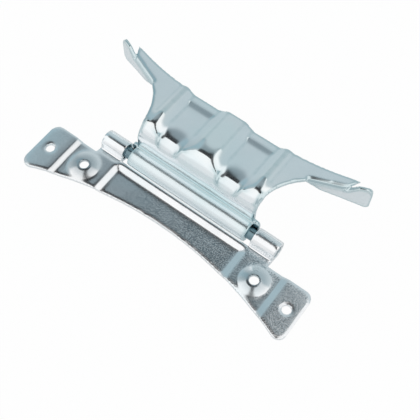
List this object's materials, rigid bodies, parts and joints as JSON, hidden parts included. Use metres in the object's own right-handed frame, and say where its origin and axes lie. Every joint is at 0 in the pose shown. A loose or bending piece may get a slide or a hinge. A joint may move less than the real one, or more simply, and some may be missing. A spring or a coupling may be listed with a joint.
{
  "type": "washing machine door hinge",
  "caption": "Pressed steel door hinge: a curved screw-on leaf with rolled knuckles, a ribbed arm with two horns that swings on the leaf, and a plain pin.",
  "frame": {"origin": "midway between the two outer screw holes, on the back of the leaf's ears", "axes": "+X along the pin, +Y from the leaf towards the arm, +Z out of the cabinet front, the way the screws leave"},
  "size_m": [0.1772, 0.0917, 0.0314],
  "materials": {
    "leaf_steel": "zinc plated pressed sheet",
    "arm_steel": "bright zinc plated pressed sheet",
    "pin_steel": "plain drawn rod"
  },
  "bodies": {
    "leaf_body": {"cabinet_leaf": "leaf_steel", "hinge_pin": "pin_steel"},
    "arm_body": {"door_arm": "arm_steel"}
  },
  "joints": [
    {"name": "arm_swing", "type": "hinge", "parent": "leaf_body", "child": "arm_body", "pos_m": [0, 0.0245, 0.0017], "axis": [1, 0, 0], "range_deg": [0, 105]}
  ]
}
